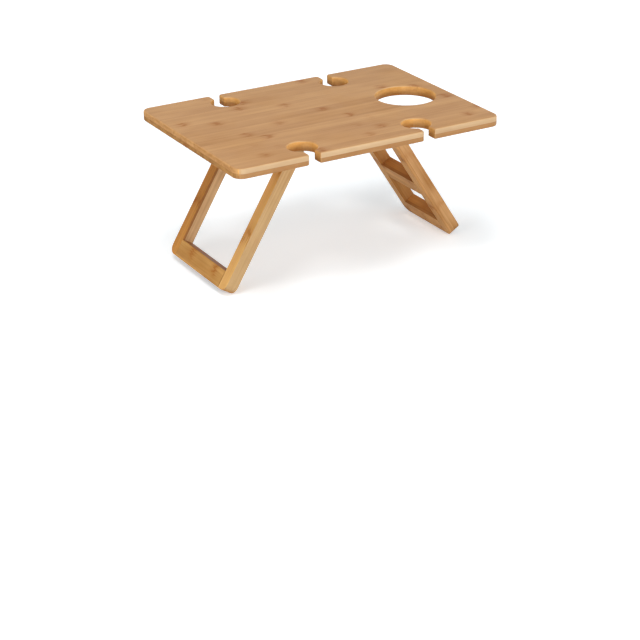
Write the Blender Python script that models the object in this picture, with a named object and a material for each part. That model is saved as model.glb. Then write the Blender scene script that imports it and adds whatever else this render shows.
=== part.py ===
"""Folding bamboo picnic table with a bottle hole and four keyhole slots for stemmed glasses.

The board stands on two splayed leg frames that nest under it: a wide one at the left end and a
narrow one with a middle bar at the right end. Each rail hangs on a small butt hinge. The table is
open here, standing on z = 0, with x along its length and the bottle hole on the +x side.
"""

import math

import bmesh
import bpy
from mathutils import Matrix

# Board
BOARD_LENGTH = 0.425
BOARD_WIDTH = 0.300
BOARD_THICKNESS = 0.015
BOARD_CORNER_RADIUS = 0.014
BOARD_TOP_ROUND = 0.0025
BOARD_BOTTOM_ROUND = 0.0015
TABLE_HEIGHT = 0.2115

# Bottle hole and glass slots
BOTTLE_HOLE_RADIUS = 0.045
BOTTLE_HOLE_FROM_END = 0.065
GLASS_HOLE_RADIUS = 0.0215
GLASS_HOLE_FROM_EDGE = 0.0365
GLASS_SLOT_SPACING = 0.185
SLOT_NECK_WIDTH = 0.016
SLOT_WIDE_LIP_RADIUS = 0.0055
SLOT_TIGHT_LIP_RADIUS = 0.002

# Leg frames
RAIL_WIDTH = 0.019
RAIL_THICKNESS = 0.019
WIDE_LEG_WIDTH = 0.173
NEST_CLEARANCE = 0.003
WIDE_LEG_SLOPE = math.radians(59.0)
NARROW_LEG_SLOPE = math.radians(57.6)
WIDE_HINGE_X = -0.0714
NARROW_HINGE_X = 0.0671
FOOT_BAR_DEPTH = 0.026
MIDDLE_BAR_DEPTH = 0.026
MIDDLE_BAR_ABOVE_FOOT_BAR = 0.056
FOOT_CORNER_RADIUS = 0.012
EDGE_EASE = 0.0008

# Dowels in the frame joints
DOWEL_RADIUS = 0.003
DOWEL_SPACING = 0.012
DOWEL_INTO_RAIL = 0.010
DOWEL_INTO_BAR = 0.018
DOWEL_CHAMFER = 0.0006

# Hinges
FOLDED_GAP = 0.0014
HINGE_WIDTH = 0.014
LEAF_LENGTH = 0.016
LEAF_THICKNESS = 0.0012
PIN_RADIUS = 0.0008
SCREW_FROM_PIN = 0.0095
SCREW_SPACING = 0.0075
SCREW_HEAD_RADIUS = 0.0021
SCREW_SHANK_RADIUS = 0.0011
SCREW_LENGTH = 0.0105
SCREW_POINT_LENGTH = 0.002

# Gap between pieces that touch on the real table
CLEARANCE = 0.0003

# Facets on round shapes
CORNER_STEPS = 6
LIP_STEPS = 4
GLASS_HOLE_STEPS = 28
BOTTLE_HOLE_STEPS = 56
TOP_ROUND_STEPS = 3
BOTTOM_ROUND_STEPS = 2
DOWEL_STEPS = 16
HINGE_STEPS = 14
SCREW_STEPS = 10
SMOOTH_ANGLE = math.radians(35.0)
EASED_ANGLE = math.radians(40.0)

# Sizes that follow from the ones above
UNDERSIDE_Z = TABLE_HEIGHT - BOARD_THICKNESS
PIN_OFFSET = FOLDED_GAP / 2
PIN_Z = UNDERSIDE_Z - PIN_OFFSET
KNUCKLE_RADIUS = PIN_OFFSET + LEAF_THICKNESS
MORTISE_DEPTH = LEAF_THICKNESS + CLEARANCE
SEAT_WIDTH = HINGE_WIDTH + 2 * CLEARANCE
NARROW_LEG_WIDTH = WIDE_LEG_WIDTH - 2 * RAIL_WIDTH - 2 * NEST_CLEARANCE
OVERCUT = 0.005
ENDS = (("front", -1), ("back", 1))


def clear_scene():
    for obj in list(bpy.data.objects):
        bpy.data.objects.remove(obj, do_unlink=True)


def make_material(name, colour, roughness, metallic=0.0):
    material = bpy.data.materials.new(name)
    material.use_nodes = True
    shader = material.node_tree.nodes["Principled BSDF"]
    shader.inputs["Base Color"].default_value = (*colour, 1.0)
    shader.inputs["Roughness"].default_value = roughness
    shader.inputs["Metallic"].default_value = metallic
    return material


def new_object(name, mesh=None):
    obj = bpy.data.objects.new(name, mesh)
    bpy.context.scene.collection.objects.link(obj)
    return obj


def mesh_from(bm, name):
    bmesh.ops.recalc_face_normals(bm, faces=bm.faces)
    mesh = bpy.data.meshes.new(name)
    bm.to_mesh(mesh)
    bm.free()
    return mesh


def finished_mesh(material, base, cuts=(), joins=()):
    """The base object's mesh with shapes joined on and then cut away. All the objects are used up."""
    for operation, tools in (("UNION", joins), ("DIFFERENCE", cuts)):
        for tool in tools:
            boolean = base.modifiers.new(operation.title(), "BOOLEAN")
            boolean.operation = operation
            boolean.solver = "EXACT"
            boolean.object = tool
    depsgraph = bpy.context.evaluated_depsgraph_get()
    mesh = bpy.data.meshes.new_from_object(base.evaluated_get(depsgraph))
    mesh.materials.clear()
    mesh.materials.append(material)
    mesh.shade_smooth()
    mesh.set_sharp_from_angle(angle=SMOOTH_ANGLE)
    for obj in (base, *cuts, *joins):
        bpy.data.objects.remove(obj, do_unlink=True)
    return mesh


def arc(centre, radius, start, end, steps):
    """Points of an arc in the plane, from one angle to another, both ends included."""
    angles = [start + (end - start) * step / steps for step in range(steps + 1)]
    return [(centre[0] + radius * math.cos(a), centre[1] + radius * math.sin(a)) for a in angles]


def box(name, low, high):
    bm = bmesh.new()
    size = [b - a for a, b in zip(low, high)]
    centre = [(a + b) / 2 for a, b in zip(low, high)]
    bmesh.ops.create_cube(bm, size=1.0, matrix=Matrix.Translation(centre) @ Matrix.Diagonal((*size, 1.0)))
    return new_object(name, mesh_from(bm, name))


def turned(name, profile, steps):
    """A solid turned about z from (radius, z) points that run from one end of the axis to the other."""
    bm = bmesh.new()
    verts = [bm.verts.new((radius, 0.0, z)) for radius, z in profile]
    edges = [bm.edges.new(pair) for pair in zip(verts, verts[1:])]
    bmesh.ops.spin(
        bm, geom=verts + edges, axis=(0, 0, 1), cent=(0, 0, 0), angle=math.tau, steps=steps, use_merge=True
    )
    bmesh.ops.remove_doubles(bm, verts=bm.verts, dist=1e-7)
    return new_object(name, mesh_from(bm, name))


def rod(name, radius, low, high, steps):
    """A round rod along y between two points."""
    length = high[1] - low[1]
    obj = turned(name, [(0.0, 0.0), (radius, 0.0), (radius, length), (0.0, length)], steps)
    obj.data.transform(Matrix.Translation(low) @ Matrix.Rotation(-math.pi / 2, 4, "X"))
    return obj


def prism(name, outline, place, depth):
    """A closed outline pushed along z by depth, then put in place by a matrix."""
    bm = bmesh.new()
    face = bm.faces.new([bm.verts.new((x, y, 0.0)) for x, y in outline])
    pushed = bmesh.ops.extrude_face_region(bm, geom=[face])
    verts = [item for item in pushed["geom"] if isinstance(item, bmesh.types.BMVert)]
    bmesh.ops.translate(bm, verts=verts, vec=(0.0, 0.0, depth))
    bmesh.ops.transform(bm, matrix=place, verts=bm.verts)
    return new_object(name, mesh_from(bm, name))


def slot_outline(inset):
    """One glass slot cut into the edge at y = 0, with the wood at +y, from its -x lip to its +x lip.

    The wood's own edge is drawn back by the inset, so the hole and the neck grow by it.
    """
    neck = SLOT_NECK_WIDTH / 2 + inset
    wide = SLOT_WIDE_LIP_RADIUS - inset
    tight = max(SLOT_TIGHT_LIP_RADIUS - inset, SLOT_TIGHT_LIP_RADIUS / 8)
    hole = GLASS_HOLE_RADIUS + inset
    centre_y = GLASS_HOLE_FROM_EDGE
    opening = math.asin(neck / hole)
    points = arc((-neck - wide, inset + wide), wide, -math.pi / 2, 0.0, LIP_STEPS)
    start = -math.pi / 2 - opening
    points += arc((0.0, centre_y), hole, start, start - math.tau + 2 * opening, GLASS_HOLE_STEPS)
    points += arc((neck + tight, inset + tight), tight, math.pi, 3 * math.pi / 2, LIP_STEPS)
    return points


def board_outline(inset):
    """The board's outer edge with its four glass slots, counterclockwise, drawn back by an inset."""
    half_x = BOARD_LENGTH / 2 - inset
    half_y = BOARD_WIDTH / 2 - inset
    radius = BOARD_CORNER_RADIUS - inset
    slot_x = GLASS_SLOT_SPACING / 2
    slot = slot_outline(inset)
    front = [(x + side * slot_x, y - BOARD_WIDTH / 2) for side in (-1, 1) for x, y in slot]
    back = [(x + side * slot_x, BOARD_WIDTH / 2 - y) for side in (1, -1) for x, y in reversed(slot)]
    corners = [
        arc((sx * (half_x - radius), sy * (half_y - radius)), radius, turn, turn + math.pi / 2, CORNER_STEPS)
        for sx, sy, turn in ((-1, -1, math.pi), (1, -1, -math.pi / 2), (1, 1, 0.0), (-1, 1, math.pi / 2))
    ]
    return corners[0] + front + corners[1] + corners[2] + back + corners[3]


def bottle_hole_outline(inset):
    centre = (BOARD_LENGTH / 2 - BOTTLE_HOLE_FROM_END, 0.0)
    return arc(centre, BOTTLE_HOLE_RADIUS + inset, 0.0, math.tau, BOTTLE_HOLE_STEPS)[:-1]


def edge_rings():
    """(inset, z) of each ring up the board's edge: the bottom round, the flat side and the top round."""
    rings = []
    for step in range(BOTTOM_ROUND_STEPS + 1):
        angle = math.pi / 2 * step / BOTTOM_ROUND_STEPS
        inset = BOARD_BOTTOM_ROUND * (1 - math.sin(angle))
        rings.append((inset, UNDERSIDE_Z + BOARD_BOTTOM_ROUND * (1 - math.cos(angle))))
    for step in range(TOP_ROUND_STEPS + 1):
        angle = math.pi / 2 * step / TOP_ROUND_STEPS
        inset = BOARD_TOP_ROUND * (1 - math.cos(angle))
        rings.append((inset, TABLE_HEIGHT - BOARD_TOP_ROUND * (1 - math.sin(angle))))
    return rings


def skin(bm, outline):
    """Stacks the outline's rings up the board's edge, and returns the lowest and the highest ring."""
    rings = [[bm.verts.new((x, y, z)) for x, y in outline(inset)] for inset, z in edge_rings()]
    for low, high in zip(rings, rings[1:]):
        for k in range(len(low)):
            bm.faces.new((low[k - 1], low[k], high[k], high[k - 1]))
    return rings[0], rings[-1]


def blank_board():
    bm = bmesh.new()
    outer = skin(bm, board_outline)
    inner = skin(bm, bottle_hole_outline)
    for rim in zip(outer, inner):
        edges = [bm.edges.get((ring[k - 1], ring[k])) for ring in rim for k in range(len(ring))]
        bmesh.ops.triangle_fill(bm, use_beauty=True, use_dissolve=False, edges=edges)
    return new_object("blank_board", mesh_from(bm, "blank_board"))


def build_tabletop(legs, material):
    """The board, with a mortise and two pilot holes under each hinge leaf."""
    cuts = []
    for leg in legs:
        for y in leg.rail_ys:
            for cutter in leaf_seat_cutters(-leg.side, overhang=KNUCKLE_RADIUS + CLEARANCE):
                cutter.data.transform(Matrix.Translation((leg.hinge_x, y, PIN_Z)))
                cuts.append(cutter)
    new_object("tabletop", finished_mesh(material, blank_board(), cuts))


def screw_profile(grow):
    """A countersunk screw along z with its head at z = 0, grown by a clearance for the holes."""
    head = SCREW_HEAD_RADIUS + grow
    shank = SCREW_SHANK_RADIUS + grow
    taper_end = -(SCREW_HEAD_RADIUS - SCREW_SHANK_RADIUS)
    length = SCREW_LENGTH + grow
    return head, shank, taper_end, length


def screw_mesh(material):
    head, shank, taper_end, length = screw_profile(0.0)
    point = -(length - SCREW_POINT_LENGTH)
    profile = [(0.0, 0.0), (head, 0.0), (shank, taper_end), (shank, point), (0.0, -length)]
    return finished_mesh(material, turned("screw", profile, SCREW_STEPS))


def screw_hole():
    """The countersink and the pilot hole of one screw, open at the top."""
    head, shank, taper_end, length = screw_profile(CLEARANCE)
    profile = [(0.0, OVERCUT), (head, OVERCUT), (head, 0.0), (shank, taper_end), (shank, -length), (0.0, -length)]
    return turned("screw_hole", profile, SCREW_STEPS)


def screw_places(direction):
    """Where a leaf's screws go when it lies over the pin line, with its screws pointing up."""
    turn = Matrix.Rotation(math.pi, 4, "X")
    x = direction * SCREW_FROM_PIN
    return [Matrix.Translation((x, y, PIN_OFFSET)) @ turn for y in (-SCREW_SPACING / 2, SCREW_SPACING / 2)]


def leaf_seat_cutters(direction, overhang):
    """The mortise and the pilot holes for a leaf above the pin line that runs along x in a direction.

    The mortise also clears the knuckles, and reaches past the pin by the overhang.
    """
    ends = sorted((-direction * overhang, direction * (LEAF_LENGTH + CLEARANCE)))
    low = (ends[0], -SEAT_WIDTH / 2, PIN_OFFSET - OVERCUT)
    high = (ends[1], SEAT_WIDTH / 2, PIN_OFFSET + MORTISE_DEPTH)
    cutters = [box("mortise", low, high)]
    for place in screw_places(direction):
        hole = screw_hole()
        hole.data.transform(place)
        cutters.append(hole)
    return cutters


def knuckle_spans():
    """(low, high) in y of the three knuckles, with a running gap between them."""
    pitch = (HINGE_WIDTH + CLEARANCE) / 3
    starts = [-HINGE_WIDTH / 2 + pitch * k for k in range(3)]
    return [(start, start + pitch - CLEARANCE) for start in starts]


def knuckle(span):
    """A rolled knuckle and the strip of leaf that runs into it, for a leaf along +x above the pin line."""
    root = LEAF_LENGTH / 2
    touch = math.asin(PIN_OFFSET / KNUCKLE_RADIUS)
    outline = [(root, PIN_OFFSET)]
    outline += arc((0.0, 0.0), KNUCKLE_RADIUS, touch, -3 * math.pi / 2, HINGE_STEPS)
    outline += [(root, KNUCKLE_RADIUS)]
    place = Matrix.Translation((0.0, span[1], 0.0)) @ Matrix.Rotation(math.pi / 2, 4, "X")
    return prism("knuckle", outline, place, span[1] - span[0])


def leaf_mesh(material, spans):
    """A hinge leaf along +x, its inner face PIN_OFFSET above the pin line, with knuckles on some spans."""
    start = KNUCKLE_RADIUS + CLEARANCE
    plate = box("leaf", (start, -HINGE_WIDTH / 2, PIN_OFFSET), (LEAF_LENGTH, HINGE_WIDTH / 2, KNUCKLE_RADIUS))
    reach = HINGE_WIDTH / 2 + OVERCUT
    bore = rod("bore", PIN_RADIUS + CLEARANCE, (0.0, -reach, 0.0), (0.0, reach, 0.0), HINGE_STEPS)
    holes = []
    for place in screw_places(1):
        hole = screw_hole()
        hole.data.transform(place)
        holes.append(hole)
    return finished_mesh(material, plate, cuts=[bore, *holes], joins=[knuckle(span) for span in spans])


class Leg:
    """One leg frame. side is -1 for the wide frame at the left and +1 for the narrow one at the right.

    It is drawn hanging straight down from its hinge line, the outer faces turned to its side, under
    an empty on that line which leans it to its slope.
    """

    def __init__(self, name, side, width, slope, hinge_x, bars):
        self.name = name
        self.side = side
        self.slope = slope
        self.hinge_x = hinge_x
        self.rail_inner_y = width / 2 - RAIL_WIDTH
        self.rail_outer_y = width / 2
        middle = width / 2 - RAIL_WIDTH / 2
        self.rail_ys = (-middle, middle)
        self.length = self.pin_to_foot()
        self.bars = {bar: self.bar_span(above_foot, depth) for bar, above_foot, depth in bars}
        self.pivot = new_object(name + "_hinge_line")
        self.pivot.location = (hinge_x, 0.0, PIN_Z)
        self.pivot.rotation_euler = (0.0, -side * (math.pi / 2 - slope), 0.0)

    def pin_to_foot(self):
        """Along the leg, so that the eased inner edge of the foot just stands on the ground."""
        rise = PIN_OFFSET * math.cos(self.slope)
        ease = EDGE_EASE * (math.sin(self.slope) + math.cos(self.slope) - 1)
        return (PIN_Z + rise + ease) / math.sin(self.slope)

    def bar_span(self, above_foot, depth):
        low = -self.length + above_foot
        return low, low + depth

    def top_at(self, outward):
        """Height of the bevelled top end, which lies along the board's underside when the leg is open."""
        return (PIN_OFFSET - CLEARANCE - outward * math.cos(self.slope)) / math.sin(self.slope)

    def add(self, name, mesh, place=None):
        obj = new_object(name, mesh)
        obj.parent = self.pivot
        obj.matrix_basis = place or Matrix()

    def rail_blank(self, back):
        """A rail with its bevelled top and one round foot corner, eased on its edges."""
        inner, outer = PIN_OFFSET, PIN_OFFSET + RAIL_THICKNESS
        foot = -self.length
        radius = FOOT_CORNER_RADIUS
        corner = arc((self.rail_outer_y - radius, foot + radius), radius, -math.pi / 2, 0.0, CORNER_STEPS)
        lower = [(self.rail_inner_y, foot), *corner]
        bm = bmesh.new()
        rings = []
        for outward in (inner, outer):
            top = self.top_at(outward)
            outline = lower + [(self.rail_outer_y, top), (self.rail_inner_y, top)]
            rings.append([bm.verts.new((self.side * outward, back * y, z)) for y, z in outline])
            bm.faces.new(rings[-1])
        for k in range(len(rings[0])):
            bm.faces.new((rings[0][k - 1], rings[0][k], rings[1][k], rings[1][k - 1]))
        blank = new_object("rail_blank", mesh_from(bm, "rail_blank"))
        ease_edges(blank)
        return blank

    def rail(self, name, back, material):
        """back is -1 for the front rail and +1 for the back one."""
        cuts = [self.dowel_hole(back, z) for span in self.bars.values() for z in dowel_heights(span)]
        lay = self.leaf_place(back * (self.rail_inner_y + self.rail_outer_y) / 2)
        for cutter in leaf_seat_cutters(1, overhang=KNUCKLE_RADIUS + OVERCUT):
            cutter.data.transform(lay)
            cuts.append(cutter)
        self.add(name, finished_mesh(material, self.rail_blank(back), cuts))

    def leaf_place(self, y):
        """Turns a leaf that lies along +x above the pin line to hang down the rail's inner face."""
        hang = Matrix.Rotation(math.pi / 2, 4, "Y")
        face = Matrix.Rotation(0.0 if self.side > 0 else math.pi, 4, "Z")
        return Matrix.Translation((0.0, y, 0.0)) @ face @ hang

    def dowel_hole(self, back, z):
        reach = DOWEL_INTO_RAIL + CLEARANCE
        ends = sorted((back * (self.rail_inner_y - OVERCUT), back * (self.rail_inner_y + reach)))
        x = self.side * (PIN_OFFSET + RAIL_THICKNESS / 2)
        return rod("dowel_hole", DOWEL_RADIUS + CLEARANCE, (x, ends[0], z), (x, ends[1], z), DOWEL_STEPS)

    def bar(self, name, span, material):
        """A cross bar between the rails, with two dowel holes in each end."""
        half = self.rail_inner_y - CLEARANCE
        xs = sorted((self.side * PIN_OFFSET, self.side * (PIN_OFFSET + RAIL_THICKNESS)))
        blank = box(name, (xs[0], -half, span[0]), (xs[1], half, span[1]))
        ease_edges(blank, along_y_only=True)
        reach = DOWEL_INTO_BAR + CLEARANCE
        x = sum(xs) / 2
        cuts = []
        for back in (-1, 1):
            ends = sorted((back * (half - reach), back * (half + OVERCUT)))
            for z in dowel_heights(span):
                low, high = (x, ends[0], z), (x, ends[1], z)
                cuts.append(rod("dowel_hole", DOWEL_RADIUS + CLEARANCE, low, high, DOWEL_STEPS))
        self.add(name, finished_mesh(material, blank, cuts))

    def dowels(self, name, span, mesh):
        """Two dowels in each end of a bar, each reaching from the bar into a rail."""
        x = self.side * (PIN_OFFSET + RAIL_THICKNESS / 2)
        for end, back in ENDS:
            turn = Matrix.Rotation(-back * math.pi / 2, 4, "X")
            for number, z in enumerate(dowel_heights(span), start=1):
                start = (x, back * (self.rail_inner_y - CLEARANCE - DOWEL_INTO_BAR), z)
                self.add(f"{name}_{end}_dowel_{number}", mesh, Matrix.Translation(start) @ turn)


def dowel_heights(span):
    middle = (span[0] + span[1]) / 2
    return middle - DOWEL_SPACING / 2, middle + DOWEL_SPACING / 2


def ease_edges(obj, along_y_only=False):
    """Rounds the sharp edges a little, or only those that run along y."""
    bevel = obj.modifiers.new("Ease", "BEVEL")
    bevel.width = EDGE_EASE
    bevel.segments = 2
    if along_y_only:
        bevel.limit_method = "WEIGHT"
        weights = obj.data.attributes.new("bevel_weight_edge", "FLOAT", "EDGE")
        for edge in obj.data.edges:
            start, end = (obj.data.vertices[index].co for index in edge.vertices)
            along_y = abs((end - start).normalized().y)
            weights.data[edge.index].value = float(round(along_y))
    else:
        bevel.limit_method = "ANGLE"
        bevel.angle_limit = EASED_ANGLE


def dowel_mesh(material):
    """A chamfered dowel that stands on z = 0."""
    length = DOWEL_INTO_BAR + CLEARANCE + DOWEL_INTO_RAIL
    top = length - DOWEL_CHAMFER
    tip = DOWEL_RADIUS - DOWEL_CHAMFER
    profile = [(0.0, 0.0), (tip, 0.0), (DOWEL_RADIUS, DOWEL_CHAMFER)]
    profile += [(DOWEL_RADIUS, top), (tip, length), (0.0, length)]
    return finished_mesh(material, turned("dowel", profile, DOWEL_STEPS))


def build_leg(leg, woods, dowel):
    for end, back in ENDS:
        leg.rail(f"{leg.name}_{end}_rail", back, woods["rail"])
    for bar, span in leg.bars.items():
        leg.bar(f"{leg.name}_{bar}", span, woods["bar"])
        leg.dowels(f"{leg.name}_{bar}", span, dowel)


def build_hinges(legs, metals):
    """A butt hinge for each rail: the board's leaf has the outer knuckles, the leg's leaf the middle one."""
    spans = knuckle_spans()
    board_leaf = leaf_mesh(metals["leaf"], [spans[0], spans[2]])
    leg_leaf = leaf_mesh(metals["leaf"], [spans[1]])
    screw = screw_mesh(metals["screw"])
    half = HINGE_WIDTH / 2
    pin_rod = rod("pin", PIN_RADIUS, (0.0, -half, 0.0), (0.0, half, 0.0), HINGE_STEPS)
    pin = finished_mesh(metals["pin"], pin_rod)
    for leg in legs:
        for (end, _), y in zip(ENDS, leg.rail_ys):
            hinge = f"{leg.name}_{end}"
            line = Matrix.Translation((leg.hinge_x, y, PIN_Z))
            inward = Matrix.Rotation(math.pi if leg.side > 0 else 0.0, 4, "Z")
            new_object(hinge + "_board_leaf", board_leaf).matrix_basis = line @ inward
            new_object(hinge + "_hinge_pin", pin).matrix_basis = line
            leg.add(hinge + "_leg_leaf", leg_leaf, leg.leaf_place(y))
            for number, place in enumerate(screw_places(1), start=1):
                new_object(f"{hinge}_board_screw_{number}", screw).matrix_basis = line @ inward @ place
                leg.add(f"{hinge}_leg_screw_{number}", screw, leg.leaf_place(y) @ place)


def main():
    clear_scene()
    woods = {
        "board": make_material("bamboo_board", (0.62, 0.36, 0.17), 0.5),
        "rail": make_material("bamboo_rail", (0.60, 0.34, 0.14), 0.5),
        "bar": make_material("bamboo_bar", (0.57, 0.31, 0.12), 0.5),
        "dowel": make_material("beech_dowel", (0.66, 0.46, 0.28), 0.6),
    }
    metals = {
        "leaf": make_material("hinge_steel", (0.62, 0.60, 0.56), 0.35, 1.0),
        "pin": make_material("pin_steel", (0.55, 0.54, 0.52), 0.3, 1.0),
        "screw": make_material("screw_steel", (0.58, 0.56, 0.52), 0.3, 1.0),
    }
    foot_bar = ("foot_bar", 0.0, FOOT_BAR_DEPTH)
    middle_bar = ("middle_bar", FOOT_BAR_DEPTH + MIDDLE_BAR_ABOVE_FOOT_BAR, MIDDLE_BAR_DEPTH)
    legs = [
        Leg("wide_leg", -1, WIDE_LEG_WIDTH, WIDE_LEG_SLOPE, WIDE_HINGE_X, [foot_bar]),
        Leg("narrow_leg", 1, NARROW_LEG_WIDTH, NARROW_LEG_SLOPE, NARROW_HINGE_X, [foot_bar, middle_bar]),
    ]
    build_tabletop(legs, woods["board"])
    dowel = dowel_mesh(woods["dowel"])
    for leg in legs:
        build_leg(leg, woods, dowel)
    build_hinges(legs, metals)


main()
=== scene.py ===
"""Looks for the folding bamboo picnic table: its materials, a pale studio and the camera."""

import math

import bpy
from mathutils import Matrix, Vector

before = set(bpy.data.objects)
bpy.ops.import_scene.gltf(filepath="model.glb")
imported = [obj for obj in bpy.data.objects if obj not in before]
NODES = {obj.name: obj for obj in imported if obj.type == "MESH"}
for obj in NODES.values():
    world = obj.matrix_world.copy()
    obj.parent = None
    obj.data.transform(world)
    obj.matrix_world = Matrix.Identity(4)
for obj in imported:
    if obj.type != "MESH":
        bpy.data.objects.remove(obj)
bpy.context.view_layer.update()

# Places on the table, in metres. The pin's offset is from its axis to the leg's inner face.
TABLE_TOP = 0.2115
BOARD_WIDTH = 0.300
PIN_Z = 0.1958
PIN_OFFSET = 0.0007
WIDE_LEG = {"hinge_x": -0.0714, "side": -1, "slope": math.radians(59.0)}
NARROW_LEG = {"hinge_x": 0.0671, "side": 1, "slope": math.radians(57.6)}

# The camera, from the photograph
CAMERA_AZIMUTH = math.radians(-30.03)
CAMERA_ELEVATION = math.radians(18.60)
CAMERA_DISTANCE = 2.6247
CAMERA_YAW = math.radians(-0.033)
CAMERA_PITCH = math.radians(6.536)
CAMERA_ROLL = math.radians(0.574)
CAMERA_CLIP = 0.05
FOCAL_PIXELS = 1814.4
IMAGE_PIXELS = 640
SENSOR_MM = 36.0

# The floor, in metres. Where it is seen it glows at LIFT_NEAR, which rises to 1 over the distances
# from the table's middle.
FLOOR_HALF = 6.0
FLOOR_PAPER = (0.885, 0.895, 0.905)
LIFT_COLOUR = (0.910, 1.0, 1.045)
LIFT_NEAR = 0.41
LIFT_DISTANCES = (0.45, 1.40)

# The light that the white surroundings give, as a share of how bright they look
WORLD_STRENGTH = 0.30

# Each lamp's place and size in metres and its power in watts
LAMP_TARGET = (0.0, 0.0, 0.1)
LAMPS = {
    "front_softbox": ((0.30, -1.9, 0.55), (1.3, 0.9), 20.0),
    "top_softbox": ((-0.42, -0.36, 2.0), (0.6, 1.3), 20.0),
    "left_softbox": ((-1.7, -0.4, 0.55), (1.0, 0.9), 9.5),
    "back_softbox": ((-0.2, 1.9, 0.40), (1.0, 0.6), 3.0),
    "right_softbox": ((2.0, -0.2, 0.45), (1.0, 0.7), 4.0),
}

# Bamboo's noises, in waves per metre along the grain, across it and into it. The dull marks follow
# the table's own axes.
WANDER_SCALE = (9.0, 60.0, 60.0)
BROAD_SCALE = (4.0, 95.0, 95.0)
STREAK_SCALE = (9.0, 430.0, 430.0)
FINE_SCALE = (22.0, 1700.0, 1700.0)
CLOUD_SCALE = (14.0, 26.0, 26.0)
PATCH_SCALE = (90.0, 170.0, 170.0)
BLOTCH_SCALE = (70.0, 55.0, 150.0)
DULL_SCALE = (11.0, 11.0, 11.0)

# Bamboo's plies, strips and growth rings, in metres, and the shift between plies in strips
PLY_EDGE = 0.00001
PLY_SHIFT = 0.43
JOINT_WIDTH = 0.00035
WANDER_REACH = 0.0016
RING_BOW = 0.014
CUT_DEPTHS = (0.0035, 0.0120)

# What sets each strip's draws apart: the seeds between plies, two draws for each strip, the shifts
# of its fibres in metres for each tone, phase and layer, and the shift of its rings for each phase
PLY_SEEDS = 31.0
TONE_DRAW = 0.5
PHASE_DRAW = 7.5
FIBRE_SHIFTS = (3.0, 2.0, 0.37)
RING_SHIFT = 2.3

# Growth marks: the core's width as a share of the ring's, the strength of core and ring, how soon
# past its rarity a mark is full, and how much it loses between patches and beside a joint
CORE_WIDTH = 0.4
CORE_STRENGTH = 0.6
RING_STRENGTH = 0.6
RARITY_SPAN = 0.45
PATCH_LEVELS = (0.34, 0.60)
PATCH_LOSS = 0.6
MARGIN_LEVELS = (0.02, 0.24)
MARGIN_LOSS = 0.85

# Levels of noise at which fibre bundles, hand marks, worn edges with painted light, flecks and
# aged spots show
BUNDLE_LEVELS = (0.60, 0.74)
DULL_LEVELS = (0.45, 0.7)
EDGE_WEAR_AND_LIGHT_LEVELS = (0.3, 0.7)
EDGE_WEAR_AND_LIGHT_LEAST = 0.35
FLECK_LEVELS = (0.58, 0.72)
AGED_LEVELS = (0.5, 0.72)

# How far a face turns towards an axis before it counts as facing that way
SIDE_TURN = (0.35, 0.9)
END_TURN = (0.45, 0.9)
UPRIGHT_TURN = (0.35, 0.8)
FLAT_TURN = (0.82, 0.985)

# How strongly patterns of bamboo and steel show in their colour
BROAD_CHANGE = 0.85
END_TONE_CHANGE = 0.20
BLOTCH_CHANGE = 2.2
BUNDLE_DEPTH = 0.18
CUT_GLUE_LOSS = 0.7
AGED_DEPTH = 0.35

# Roughness of bare bamboo and beech, and what each pattern adds to bamboo, beech and steel
BAMBOO_ROUGHNESS = 0.36
STREAK_ROUGHNESS = 0.16
DULL_ROUGHNESS = 0.10
END_ROUGHNESS = 0.16
MARK_ROUGHNESS = 0.10
BEECH_ROUGHNESS = 0.55
FLECK_ROUGHNESS = 0.2
BRUSHED_ROUGHNESS = 0.18
AGED_ROUGHNESS = 0.18

# Bump: how far each pattern raises the bamboo, and each material's strength and reach in metres
STREAK_HEIGHT = 0.55
BUNDLE_HEIGHT = -0.35
LINE_HEIGHT = -0.5
MARK_HEIGHT = 0.45
BAMBOO_BUMP = (0.45, 0.00022)
BEECH_BUMP = (0.4, 0.0001)
STEEL_BUMP = (0.3, 0.00005)

# Noises of the dowels and of the steel, in waves per metre
FLECK_SCALE = (900.0, 120.0, 900.0)
BEECH_CLOUD_SCALE = (150.0, 40.0, 150.0)
SPANGLE_SCALE = (420.0, 420.0, 420.0)
AGED_SCALE = (160.0, 160.0, 160.0)


def linear(red, green, blue):
    """A colour written as screen values from 0 to 255, made linear."""
    values = [v / 255 for v in (red, green, blue)]
    return [v / 12.92 if v <= 0.04045 else ((v + 0.055) / 1.055) ** 2.4 for v in values]


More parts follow.
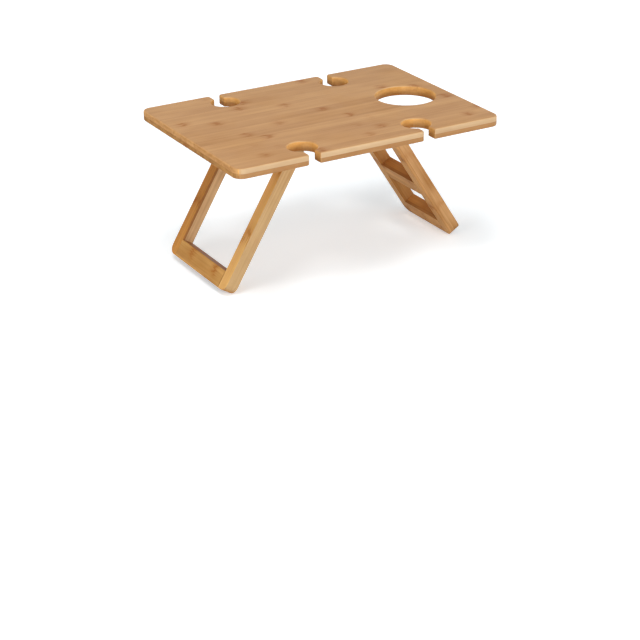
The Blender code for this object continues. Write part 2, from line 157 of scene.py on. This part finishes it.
class Tree:
    """Short names for the shader nodes of one material or of the world."""

    def __init__(self, owner):
        owner.use_nodes = True
        self.nodes = owner.node_tree.nodes
        self.links = owner.node_tree.links

    def put(self, socket, value):
        if isinstance(value, bpy.types.NodeSocket):
            self.links.new(value, socket)
        elif isinstance(value, (tuple, list)) and socket.type == "RGBA":
            socket.default_value = (*value[:3], 1.0)
        else:
            socket.default_value = value

    def fill(self, node, values):
        for socket, value in zip(node.inputs, values):
            self.put(socket, value)

    def math(self, operation, *values, clamp=False):
        node = self.nodes.new("ShaderNodeMath")
        node.operation = operation
        node.use_clamp = clamp
        self.fill(node, values)
        return node.outputs[0]

    def vector(self, operation, *values):
        node = self.nodes.new("ShaderNodeVectorMath")
        node.operation = operation
        self.fill(node, values)
        return node.outputs["Value" if operation == "LENGTH" else "Vector"]

    def join(self, x, y, z):
        node = self.nodes.new("ShaderNodeCombineXYZ")
        self.fill(node, (x, y, z))
        return node.outputs[0]

    def split(self, vector):
        node = self.nodes.new("ShaderNodeSeparateXYZ")
        self.put(node.inputs[0], vector)
        return node.outputs[0], node.outputs[1], node.outputs[2]

    def turn_about_y(self, vector, angle):
        node = self.nodes.new("ShaderNodeVectorRotate")
        node.rotation_type = "Y_AXIS"
        self.put(node.inputs["Vector"], vector)
        node.inputs["Angle"].default_value = angle
        return node.outputs[0]

    def noise(self, place, scale, detail=2.0, roughness=0.5):
        """Fine noise from about 0 to 1, with scale in waves per metre along each axis."""
        node = self.nodes.new("ShaderNodeTexNoise")
        self.put(node.inputs["Vector"], self.vector("MULTIPLY", place, scale))
        node.inputs["Scale"].default_value = 1.0
        node.inputs["Detail"].default_value = detail
        node.inputs["Roughness"].default_value = roughness
        return node.outputs[0]

    def cells(self, x, y, z):
        """A different number from 0 to 1 for each set of three numbers."""
        node = self.nodes.new("ShaderNodeTexWhiteNoise")
        node.noise_dimensions = "3D"
        self.put(node.inputs["Vector"], self.join(x, y, z))
        return node.outputs["Value"]

    def span(self, value, low, high, start=0.0, end=1.0, smooth=False):
        """value from low to high, spread over start to end and held there."""
        node = self.nodes.new("ShaderNodeMapRange")
        node.interpolation_type = "SMOOTHSTEP" if smooth else "LINEAR"
        node.clamp = True
        names = ("Value", "From Min", "From Max", "To Min", "To Max")
        for name, number in zip(names, (value, low, high, start, end)):
            self.put(node.inputs[name], number)
        return node.outputs[0]

    def band(self, distance, width):
        """1 on a line and 0 at more than a width from it."""
        return self.span(distance, 0.0, width, 1.0, 0.0, smooth=True)

    def swing(self, value, amount):
        """A value from 0 to 1, made to swing about 0 by amount in all."""
        return self.math("MULTIPLY", self.math("SUBTRACT", value, 0.5), amount)

    def add_share(self, total, value, share, clamp=False):
        """total plus a share of value."""
        return self.math("ADD", total, self.math("MULTIPLY", value, share), clamp=clamp)

    def fade(self, total, pattern, loss, clamp=False):
        """total where the pattern is 1, and less by a share of loss where it is 0."""
        kept = self.math("MULTIPLY_ADD", pattern, loss, 1.0 - loss)
        return self.math("MULTIPLY", total, kept, clamp=clamp)

    def mix(self, factor, first, second):
        node = self.nodes.new("ShaderNodeMix")
        node.data_type = "RGBA"
        self.put(node.inputs[0], factor)
        self.put(node.inputs[6], first)
        self.put(node.inputs[7], second)
        return node.outputs[2]

    def tint(self, colour, pattern, depth, tone):
        """colour, with a pattern of another tone laid over it at the given depth."""
        return self.mix(self.math("MULTIPLY", pattern, depth), colour, tone)

    def bump(self, height, strength, distance):
        node = self.nodes.new("ShaderNodeBump")
        node.inputs["Strength"].default_value = strength
        node.inputs["Distance"].default_value = distance
        self.put(node.inputs["Height"], height)
        return node.outputs[0]

    def places(self):
        """The point and the outward direction in the table's own axes, which move with a piece."""
        node = self.nodes.new("ShaderNodeTexCoord")
        return node.outputs["Object"], node.outputs["Normal"]


def new_material(name, settings):
    material = bpy.data.materials.new(name)
    tree = Tree(material)
    shader = tree.nodes["Principled BSDF"]
    for socket, value in settings.items():
        shader.inputs[socket].default_value = value
    return material, tree, shader


def lay_strips(tree, across, deep, look, seed):
    """Plies through the thickness, and strips side by side in each ply."""
    from_glue = tree.math("ABSOLUTE", tree.math("SUBTRACT", deep, look["ply"]))
    ply = tree.span(deep, look["ply"] - PLY_EDGE, look["ply"] + PLY_EDGE, *look["ply_order"])
    shift = tree.math("MULTIPLY_ADD", ply, look["strip"] * PLY_SHIFT, across)
    strips = tree.math("DIVIDE", tree.math("ADD", shift, look["strip_start"]), look["strip"])
    strip = tree.math("FLOOR", strips)
    layer = tree.math("ADD", tree.math("MULTIPLY", ply, PLY_SEEDS), seed)
    from_joint = tree.math("PINGPONG", strips, 0.5)
    return {
        "ply": ply,
        "glue": tree.band(from_glue, look["glue_width"]),
        "strips": strips,
        "strip": strip,
        "layer": layer,
        "tone": tree.cells(strip, layer, TONE_DRAW),
        "phase": tree.cells(strip, layer, PHASE_DRAW),
        "from_joint": from_joint,
        "joint": tree.band(tree.math("MULTIPLY", from_joint, look["strip"]), JOINT_WIDTH),
    }


def draw_fibres(tree, along, across, deep, sheet):
    """Fibres run the length of each strip, so each strip draws its own."""
    by_tone, by_phase, by_layer = FIBRE_SHIFTS
    drawn = tree.join(
        tree.add_share(along, sheet["tone"], by_tone),
        tree.add_share(across, sheet["phase"], by_phase),
        tree.add_share(deep, sheet["layer"], by_layer),
    )
    wander = tree.noise(drawn, WANDER_SCALE, detail=1.0)
    aside = tree.join(0.0, tree.math("MULTIPLY", wander, WANDER_REACH), 0.0)
    swept = tree.vector("ADD", drawn, aside)
    fine = tree.noise(swept, FINE_SCALE, roughness=0.6)
    return {
        "drawn": drawn,
        "broad": tree.noise(swept, BROAD_SCALE),
        "streak": tree.noise(swept, STREAK_SCALE, detail=3.0, roughness=0.6),
        "bundle": tree.span(fine, *BUNDLE_LEVELS, smooth=True),
        "cloud": tree.noise(drawn, CLOUD_SCALE),
    }


def growth_marks(tree, along, to_side, look, sheet, fibre):
    """The cane's growth rings, as short brown smudges that are longer along the grain than across.

    A look with a ring_start has a ring there, in metres along the piece. Without one, each strip
    starts its rings at a place of its own.
    """
    spacing, width, rarity = look["ring_spacing"], look["ring_width"], look["ring_rarity"]
    off_middle = tree.math("SUBTRACT", tree.math("FRACT", sheet["strips"]), 0.5)
    bow = tree.math("MULTIPLY", tree.math("POWER", off_middle, 2.0), RING_BOW)
    wavy = tree.math("ADD", bow, tree.swing(fibre["streak"], look["ring_ragged"]))
    if "ring_start" in look:
        offset = spacing / 2 - look["ring_start"]
    else:
        offset = tree.math("MULTIPLY", sheet["phase"], RING_SHIFT)
    place = tree.math("ADD", tree.math("ADD", along, wavy), offset)
    rings = tree.math("DIVIDE", place, spacing)
    strength = tree.cells(sheet["strip"], tree.math("FLOOR", rings), sheet["layer"])
    off_ring = tree.math("SUBTRACT", tree.math("FRACT", rings), 0.5)
    from_ring = tree.math("MULTIPLY", tree.math("ABSOLUTE", off_ring), spacing)
    core = tree.math("MULTIPLY", tree.band(from_ring, width * CORE_WIDTH), CORE_STRENGTH)
    smudge = tree.add_share(core, tree.band(from_ring, width), RING_STRENGTH)
    mark = tree.math("MULTIPLY", smudge, tree.span(strength, rarity, rarity + RARITY_SPAN))
    patch = tree.span(tree.noise(fibre["drawn"], PATCH_SCALE, detail=1.0), *PATCH_LEVELS)
    mark = tree.fade(mark, patch, PATCH_LOSS)
    inside = tree.span(sheet["from_joint"], *MARGIN_LEVELS, smooth=True)
    mark = tree.fade(mark, inside, MARGIN_LOSS, clamp=True)
    return tree.math("MULTIPLY", mark, tree.span(to_side, *SIDE_TURN, 1.0, look["side_ring"]))


def wall_of_cut(tree, grain_place, to_flat, end_value, look):
    """Where the walls of the board's hole and slots are, and their colour."""
    along, across, deep = grain_place
    half_length, half_width = look["cut_within"]
    upright = tree.span(to_flat, *UPRIGHT_TURN, 1.0, 0.0, smooth=True)
    inner_x = tree.math("LESS_THAN", tree.math("ABSOLUTE", along), half_length)
    off_middle = tree.math("ABSOLUTE", tree.math("SUBTRACT", across, BOARD_WIDTH / 2))
    inner_y = tree.math("LESS_THAN", off_middle, half_width)
    cut = tree.math("MULTIPLY", upright, tree.math("MULTIPLY", inner_x, inner_y))
    above = tree.mix(end_value, look["cut_light"], look["cut_dark"])
    below = tree.mix(end_value, look["cut_under_light"], look["cut_under_dark"])
    through = tree.span(deep, *CUT_DEPTHS, smooth=True)
    return cut, tree.mix(through, above, below)


def bamboo(name, grain, facing, look, seed):
    """Laminated bamboo.

    grain turns the piece's place into (along, across, deep) in metres, and facing turns its
    outward direction into the same axes.
    """
    material, tree, shader = new_material(name, {"Specular IOR Level": look["gloss"]})
    place, direction = tree.places()
    along, across, deep = grain(tree, place)
    to_end, to_side, to_flat = [tree.math("ABSOLUTE", part) for part in facing(tree, direction)]
    sheet = lay_strips(tree, across, deep, look, seed)
    fibre = draw_fibres(tree, along, across, deep, sheet)
    mark = growth_marks(tree, along, to_side, look, sheet, fibre)
    glue, streak, cloud = sheet["glue"], fibre["streak"], fibre["cloud"]

    # Colour: a flat face, a side face and a cut or end face each show the cane differently, and
    # their colours also hold painted light and shade
    tone = tree.math("SUBTRACT", sheet["tone"], 0.5)
    value = tree.math("MULTIPLY_ADD", tone, look["tone_change"], 0.5)
    value = tree.math("ADD", value, tree.swing(fibre["broad"], BROAD_CHANGE))
    value = tree.math("ADD", value, tree.swing(streak, look["streak_change"]))
    value = tree.math("ADD", value, tree.swing(cloud, look["cloud_change"]), clamp=True)
    blotch = tree.noise(fibre["drawn"], BLOTCH_SCALE, detail=3.0, roughness=0.6)
    end_value = tree.math("MULTIPLY_ADD", tone, END_TONE_CHANGE, 0.5)
    end_value = tree.math("ADD", end_value, tree.swing(blotch, BLOTCH_CHANGE), clamp=True)

    def plies(kind, amount):
        upper = tree.mix(amount, look[f"{kind}_light"], look[f"{kind}_dark"])
        lower = tree.mix(amount, look[f"{kind}_under_light"], look[f"{kind}_under_dark"])
        return tree.mix(sheet["ply"], upper, lower)

    side = tree.span(to_side, *SIDE_TURN, smooth=True)
    end = tree.span(to_end, *END_TURN, smooth=True)
    colour = tree.mix(side, plies("face", value), plies("side", value))
    colour = tree.mix(end, colour, plies("end", end_value))
    if "cut_within" in look:
        cut, wall = wall_of_cut(tree, (along, across, deep), to_flat, end_value, look)
        colour = tree.mix(cut, colour, wall)
        glue = tree.math("MULTIPLY", glue, tree.math("MULTIPLY_ADD", cut, -CUT_GLUE_LOSS, 1.0))
    colour = tree.tint(colour, mark, look["ring_depth"], look["ring_colour"])
    colour = tree.tint(colour, fibre["bundle"], BUNDLE_DEPTH, look["ring_colour"])
    colour = tree.tint(colour, sheet["joint"], look["joint_depth"], look["ring_colour"])
    colour = tree.tint(colour, glue, look["glue_depth"], look["glue_colour"])

    # Wear and painted light: rounded edges are worn, with a painted highlight on the board's edges
    # and painted shade on the legs' edges, and the faces carry a few dull hand marks
    flattest = tree.math("MAXIMUM", tree.math("MAXIMUM", to_end, to_side), to_flat)
    rounded = tree.span(flattest, *FLAT_TURN, 1.0, 0.0, smooth=True)
    edge_wear_and_painted_light = tree.math("MULTIPLY", rounded, tree.span(cloud, *EDGE_WEAR_AND_LIGHT_LEVELS, EDGE_WEAR_AND_LIGHT_LEAST, 1.0))
    colour = tree.tint(colour, edge_wear_and_painted_light, look["edge_wear_and_painted_light_depth"], look["edge_wear_and_painted_light_colour"])
    dull = tree.span(tree.noise(place, DULL_SCALE, detail=4.0), *DULL_LEVELS, smooth=True)
    rough = tree.math("MULTIPLY_ADD", streak, STREAK_ROUGHNESS, BAMBOO_ROUGHNESS)
    rough = tree.add_share(rough, dull, DULL_ROUGHNESS)
    rough = tree.add_share(rough, end, END_ROUGHNESS)
    rough = tree.add_share(rough, mark, MARK_ROUGHNESS, clamp=True)
    height = tree.math("MULTIPLY", streak, STREAK_HEIGHT)
    height = tree.add_share(height, fibre["bundle"], BUNDLE_HEIGHT)
    height = tree.add_share(height, sheet["joint"], LINE_HEIGHT)
    height = tree.add_share(height, glue, LINE_HEIGHT)
    height = tree.add_share(height, mark, MARK_HEIGHT)
    tree.put(shader.inputs["Base Color"], colour)
    tree.put(shader.inputs["Roughness"], rough)
    tree.put(shader.inputs["Normal"], tree.bump(height, *BAMBOO_BUMP))
    return material


def board_grain(tree, place):
    x, y, z = tree.split(place)
    return x, tree.math("ADD", y, BOARD_WIDTH / 2), tree.math("SUBTRACT", TABLE_TOP, z)


def board_facing(tree, direction):
    return tree.split(direction)


def leg_axes(tree, vector, leg):
    """x, y and z in the leg's own axes: out through its thickness, across it and up along it."""
    lean = -leg["side"] * (math.pi / 2 - leg["slope"])
    return tree.split(tree.turn_about_y(vector, -lean))


def leg_grain(leg, along_y):
    """grain and facing for a rail, or with along_y for a bar, which lies across the leg."""
    pin = (leg["hinge_x"], 0.0, PIN_Z)

    def grain(tree, place):
        x, y, z = leg_axes(tree, tree.vector("SUBTRACT", place, pin), leg)
        deep = tree.math("MULTIPLY_ADD", x, leg["side"], -PIN_OFFSET)
        return (y, z, deep) if along_y else (z, y, deep)

    def facing(tree, direction):
        x, y, z = leg_axes(tree, direction, leg)
        return (y, z, x) if along_y else (z, y, x)

    return grain, facing


BOARD_LOOK = {
    "gloss": 0.10,
    "ply": 0.0077,
    "ply_order": (0.0, 1.0),
    "glue_width": 0.00030,
    "glue_depth": 0.45,
    "strip": 0.0214,
    "strip_start": 0.0,
    "ring_spacing": 0.165,
    "ring_width": 0.0175,
    "ring_ragged": 0.020,
    "ring_rarity": 0.10,
    "ring_depth": 0.64,
    "side_ring": 0.4,
    "joint_depth": 0.08,
    "tone_change": 0.30,
    "streak_change": 0.50,
    "cloud_change": 0.80,
    "face_light": linear(203, 156, 105),
    "face_dark": linear(171, 123, 77),
    "face_under_light": linear(200, 150, 96),
    "face_under_dark": linear(168, 118, 68),
    # The upper ply's paler side colours are partly its edge grain and partly painted light from
    # the front
    "side_light": linear(216, 188, 149),
    "side_dark": linear(188, 153, 113),
    "side_under_light": linear(181, 137, 91),
    "side_under_dark": linear(150, 104, 60),
    "end_light": linear(208, 157, 98),
    "end_dark": linear(168, 115, 62),
    "end_under_light": linear(186, 136, 76),
    "end_under_dark": linear(140, 92, 44),
    "ring_colour": linear(150, 86, 38),
    "glue_colour": linear(120, 76, 40),
    # The rounded edges' paler tint is wear with a painted highlight
    "edge_wear_and_painted_light_colour": linear(228, 190, 140),
    "edge_wear_and_painted_light_depth": 0.20,
}

# The walls of the board's hole and slots: upright faces this near to its middle, along and across
CUT_LOOK = {
    "cut_within": (0.2090, 0.1465),
    "cut_light": linear(230, 174, 100),
    "cut_dark": linear(202, 144, 74),
    "cut_under_light": linear(176, 120, 62),
    "cut_under_dark": linear(146, 92, 42),
}

# The legs' rails and bars. Deep is counted from the face that turns inwards under the table.
RAIL_LOOK = BOARD_LOOK | {
    "gloss": 0.06,
    "ply": 0.0045,
    "glue_width": 0.00035,
    "glue_depth": 0.60,
    "strip": 0.060,
    "strip_start": 0.5,
    "ring_spacing": 0.105,
    "ring_start": -0.144,
    "ring_width": 0.015,
    "ring_ragged": 0.034,
    "ring_rarity": -0.20,
    "ring_depth": 0.80,
    "tone_change": 0.0,
    "streak_change": 0.85,
    "cloud_change": 1.30,
    "face_light": linear(231, 179, 109),
    "face_dark": linear(184, 128, 71),
    "face_under_light": linear(228, 176, 104),
    "face_under_dark": linear(188, 132, 68),
    "side_light": linear(206, 157, 103),
    "side_dark": linear(146, 96, 50),
    "side_under_light": linear(218, 173, 121),
    "side_under_dark": linear(160, 111, 62),
    "end_light": linear(206, 154, 90),
    "end_dark": linear(156, 104, 50),
    "end_under_light": linear(206, 154, 90),
    "end_under_dark": linear(156, 104, 50),
    "ring_colour": linear(154, 88, 35),
    "glue_colour": linear(126, 76, 36),
    # The rounded edges' darker tint is painted shade
    "edge_wear_and_painted_light_colour": linear(118, 76, 40),
    "edge_wear_and_painted_light_depth": 0.40,
}

# A bar lies across the leg. Its narrow faces, up and down the leg, are painted darker than a
# rail's, as shade from the board above.
BAR_LOOK = RAIL_LOOK | {
    "ring_spacing": 0.070,
    "ring_start": 0.030,
    "side_light": linear(186, 128, 70),
    "side_dark": linear(132, 82, 39),
    "side_under_light": linear(186, 126, 66),
    "side_under_dark": linear(134, 82, 38),
}

# The wide leg's foot bar has darker painted shade still on its narrow faces, and its marks are
# more ragged
WIDE_FOOT_BAR = BAR_LOOK | {
    "face_under_light": linear(214, 166, 96),
    "face_under_dark": linear(174, 122, 62),
    "side_light": linear(170, 114, 60),
    "side_dark": linear(120, 74, 36),
    "side_under_light": linear(172, 114, 58),
    "side_under_dark": linear(122, 74, 36),
    "ring_ragged": 0.045,
    "ring_colour": linear(162, 92, 34),
}

# The wide leg's front rail is one ply thick, and its back rail is glued up the other way round
WIDE_FRONT_RAIL = RAIL_LOOK | {
    "ply": -0.0100,
    "ring_width": 0.024,
    "ring_ragged": 0.055,
    "ring_colour": linear(176, 106, 42),
    "cloud_change": 1.0,
    "face_under_light": linear(238, 192, 122),
    "face_under_dark": linear(204, 146, 76),
    "side_under_light": linear(214, 181, 135),
    "side_under_dark": linear(165, 127, 80),
    "side_ring": 0.15,
    "edge_wear_and_painted_light_depth": 0.15,
}
WIDE_BACK_RAIL = RAIL_LOOK | {
    "ply": 0.0152,
    "ply_order": (1.0, 0.0),
    "face_light": linear(206, 145, 72),
    "face_dark": linear(170, 107, 45),
    "side_light": linear(174, 122, 72),
    "side_dark": linear(136, 88, 48),
    "side_under_light": linear(224, 187, 141),
    "side_under_dark": linear(168, 124, 81),
    "side_ring": 0.15,
}
NARROW_BACK_RAIL = RAIL_LOOK | {
    "ring_start": -0.120,
    "side_light": linear(186, 130, 72),
    "side_dark": linear(140, 90, 46),
    "side_under_light": linear(190, 138, 82),
    "side_under_dark": linear(148, 98, 52),
    "glue_depth": 0.25,
}
NARROW_FRONT_RAIL = RAIL_LOOK | {"ring_start": -0.068}
NARROW_FOOT_BAR = BAR_LOOK | {"ring_start": 0.002}
NARROW_MIDDLE_BAR = BAR_LOOK | {"ring_start": 0.045}

# Each leg's pieces, with their looks and seeds
LEG_PIECES = [
    ("wide_leg", WIDE_LEG, "front_rail", WIDE_FRONT_RAIL, 11.0),
    ("wide_leg", WIDE_LEG, "back_rail", WIDE_BACK_RAIL, 23.0),
    ("wide_leg", WIDE_LEG, "foot_bar", WIDE_FOOT_BAR, 35.0),
    ("narrow_leg", NARROW_LEG, "front_rail", NARROW_FRONT_RAIL, 47.0),
    ("narrow_leg", NARROW_LEG, "back_rail", NARROW_BACK_RAIL, 59.0),
    ("narrow_leg", NARROW_LEG, "foot_bar", NARROW_FOOT_BAR, 61.0),
    ("narrow_leg", NARROW_LEG, "middle_bar", NARROW_MIDDLE_BAR, 73.0),
]
BOARD_SEED = 12.0


def assign(obj, material):
    for slot in obj.material_slots:
        slot.material = material


def dress_bamboo():
    look = BOARD_LOOK | CUT_LOOK
    board = bamboo("bamboo_tabletop", board_grain, board_facing, look, BOARD_SEED)
    assign(NODES["tabletop"], board)
    for leg_name, leg, piece, look, seed in LEG_PIECES:
        grain, facing = leg_grain(leg, along_y=piece.endswith("_bar"))
        node = f"{leg_name}_{piece}"
        assign(NODES[node], bamboo(f"bamboo_{node}", grain, facing, look, seed))


def dowel_wood():
    """Beech with short dark flecks that run along the dowel."""
    material, tree, shader = new_material("beech_dowel", {"Specular IOR Level": 0.35})
    place, _ = tree.places()
    flecks = tree.noise(place, FLECK_SCALE, detail=3.0, roughness=0.6)
    cloud = tree.noise(place, BEECH_CLOUD_SCALE)
    colour = tree.mix(cloud, linear(214, 178, 132), linear(186, 144, 98))
    colour = tree.mix(tree.span(flecks, *FLECK_LEVELS), colour, linear(140, 98, 62))
    rough = tree.math("MULTIPLY_ADD", flecks, FLECK_ROUGHNESS, BEECH_ROUGHNESS)
    tree.put(shader.inputs["Base Color"], colour)
    tree.put(shader.inputs["Roughness"], rough)
    tree.put(shader.inputs["Normal"], tree.bump(flecks, *BEECH_BUMP))
    return material


def steel(name, light, dark, roughness, brush):
    """Zinc-plated steel, brushed by the scale of brush, with dull spots where it has aged."""
    material, tree, shader = new_material(name, {"Metallic": 1.0})
    place, _ = tree.places()
    brushed = tree.noise(place, brush, detail=3.0, roughness=0.6)
    spangle = tree.noise(place, SPANGLE_SCALE)
    aged = tree.span(tree.noise(place, AGED_SCALE, detail=4.0), *AGED_LEVELS, smooth=True)
    colour = tree.mix(spangle, linear(*light), linear(*dark))
    colour = tree.tint(colour, aged, AGED_DEPTH, linear(128, 116, 98))
    rough = tree.math("MULTIPLY_ADD", brushed, BRUSHED_ROUGHNESS, roughness)
    tree.put(shader.inputs["Base Color"], colour)
    tree.put(shader.inputs["Roughness"], tree.add_share(rough, aged, AGED_ROUGHNESS))
    tree.put(shader.inputs["Normal"], tree.bump(brushed, *STEEL_BUMP))
    return material


def dress_small_parts():
    """The dowels, and the hinges' leaves, pins and screws, each told by its node's name."""
    brushed_along_y = (300.0, 5200.0, 300.0)
    turned = (2600.0, 300.0, 2600.0)
    even = (2600.0, 2600.0, 2600.0)
    materials = {
        "_dowel_": dowel_wood(),
        "_leaf": steel("hinge_steel", (206, 203, 196), (176, 172, 164), 0.30, brushed_along_y),
        "_hinge_pin": steel("pin_steel", (188, 186, 181), (160, 157, 150), 0.24, turned),
        "_screw_": steel("screw_steel", (210, 206, 196), (172, 167, 156), 0.26, even),
    }
    for name, obj in NODES.items():
        for mark, material in materials.items():
            if mark in name:
                assign(obj, material)


def seen_directly(tree):
    """1 for what the camera sees, straight or in a reflection or through glass."""
    path = tree.nodes.new("ShaderNodeLightPath").outputs
    total = path["Is Camera Ray"]
    for name in ("Is Glossy Ray", "Is Transmission Ray"):
        total = tree.math("MAXIMUM", total, path[name])
    return total


def add_floor():
    """A white floor that fills the view, lifted where it is seen, so that only shadow is grey."""
    mesh = bpy.data.meshes.new("studio_floor")
    half = FLOOR_HALF
    corners = [(-half, -half, 0), (half, -half, 0), (half, half, 0), (-half, half, 0)]
    mesh.from_pydata(corners, [], [(0, 1, 2, 3)])
    floor = bpy.data.objects.new("studio_floor", mesh)
    bpy.context.scene.collection.objects.link(floor)
    material = bpy.data.materials.new("studio_floor")
    tree = Tree(material)
    tree.nodes.clear()
    paper = tree.nodes.new("ShaderNodeBsdfDiffuse")
    tree.put(paper.inputs["Color"], FLOOR_PAPER)
    place, _ = tree.places()
    amount = tree.span(tree.vector("LENGTH", place), *LIFT_DISTANCES, LIFT_NEAR, 1.0)
    lift = tree.nodes.new("ShaderNodeEmission")
    tree.put(lift.inputs["Color"], LIFT_COLOUR)
    tree.put(lift.inputs["Strength"], tree.math("MULTIPLY", seen_directly(tree), amount))
    both = tree.nodes.new("ShaderNodeAddShader")
    tree.fill(both, (paper.outputs[0], lift.outputs[0]))
    out = tree.nodes.new("ShaderNodeOutputMaterial")
    tree.put(out.inputs["Surface"], both.outputs[0])
    mesh.materials.append(material)


def add_world():
    """White surroundings that look fully white and light the table more weakly."""
    world = bpy.data.worlds.new("studio")
    bpy.context.scene.world = world
    tree = Tree(world)
    background = tree.nodes["Background"]
    background.inputs["Color"].default_value = (1.0, 1.0, 1.0, 1.0)
    strength = tree.span(seen_directly(tree), 0.0, 1.0, WORLD_STRENGTH, 1.0)
    tree.put(background.inputs["Strength"], strength)


def add_lamps():
    for name, (place, size, power) in LAMPS.items():
        lamp = bpy.data.lights.new(name, "AREA")
        lamp.shape = "RECTANGLE"
        lamp.size, lamp.size_y = size
        lamp.energy = power
        obj = bpy.data.objects.new(name, lamp)
        obj.location = place
        aim = Vector(LAMP_TARGET) - Vector(place)
        obj.rotation_euler = aim.to_track_quat("-Z", "Y").to_euler()
        bpy.context.scene.collection.objects.link(obj)


def add_camera():
    """The photograph's own view.

    The azimuth and the elevation place it round the middle of the board's top. Yaw, pitch and roll
    then turn it from there.
    """
    sin_az, cos_az = math.sin(CAMERA_AZIMUTH), math.cos(CAMERA_AZIMUTH)
    sin_el, cos_el = math.sin(CAMERA_ELEVATION), math.cos(CAMERA_ELEVATION)
    back = Vector((sin_az * cos_el, -cos_az * cos_el, sin_el))
    right = Vector((0.0, 0.0, 1.0)).cross(back).normalized()
    up = back.cross(right)
    straight = Matrix((right, up, back))
    aim = Matrix.Rotation(CAMERA_ROLL, 3, "Z") @ Matrix.Rotation(CAMERA_PITCH, 3, "X")
    aim = aim @ Matrix.Rotation(CAMERA_YAW, 3, "Y") @ straight
    camera = bpy.data.cameras.new("camera")
    camera.sensor_width = SENSOR_MM
    camera.lens = FOCAL_PIXELS * SENSOR_MM / IMAGE_PIXELS
    camera.clip_start = CAMERA_CLIP
    obj = bpy.data.objects.new("camera", camera)
    place = back * CAMERA_DISTANCE + Vector((0.0, 0.0, TABLE_TOP))
    obj.matrix_world = Matrix.Translation(place) @ aim.transposed().to_4x4()
    bpy.context.scene.collection.objects.link(obj)
    bpy.context.scene.camera = obj


add_camera()
dress_bamboo()
dress_small_parts()
add_floor()
add_world()
add_lamps()
bpy.context.scene.view_settings.view_transform = "Standard"
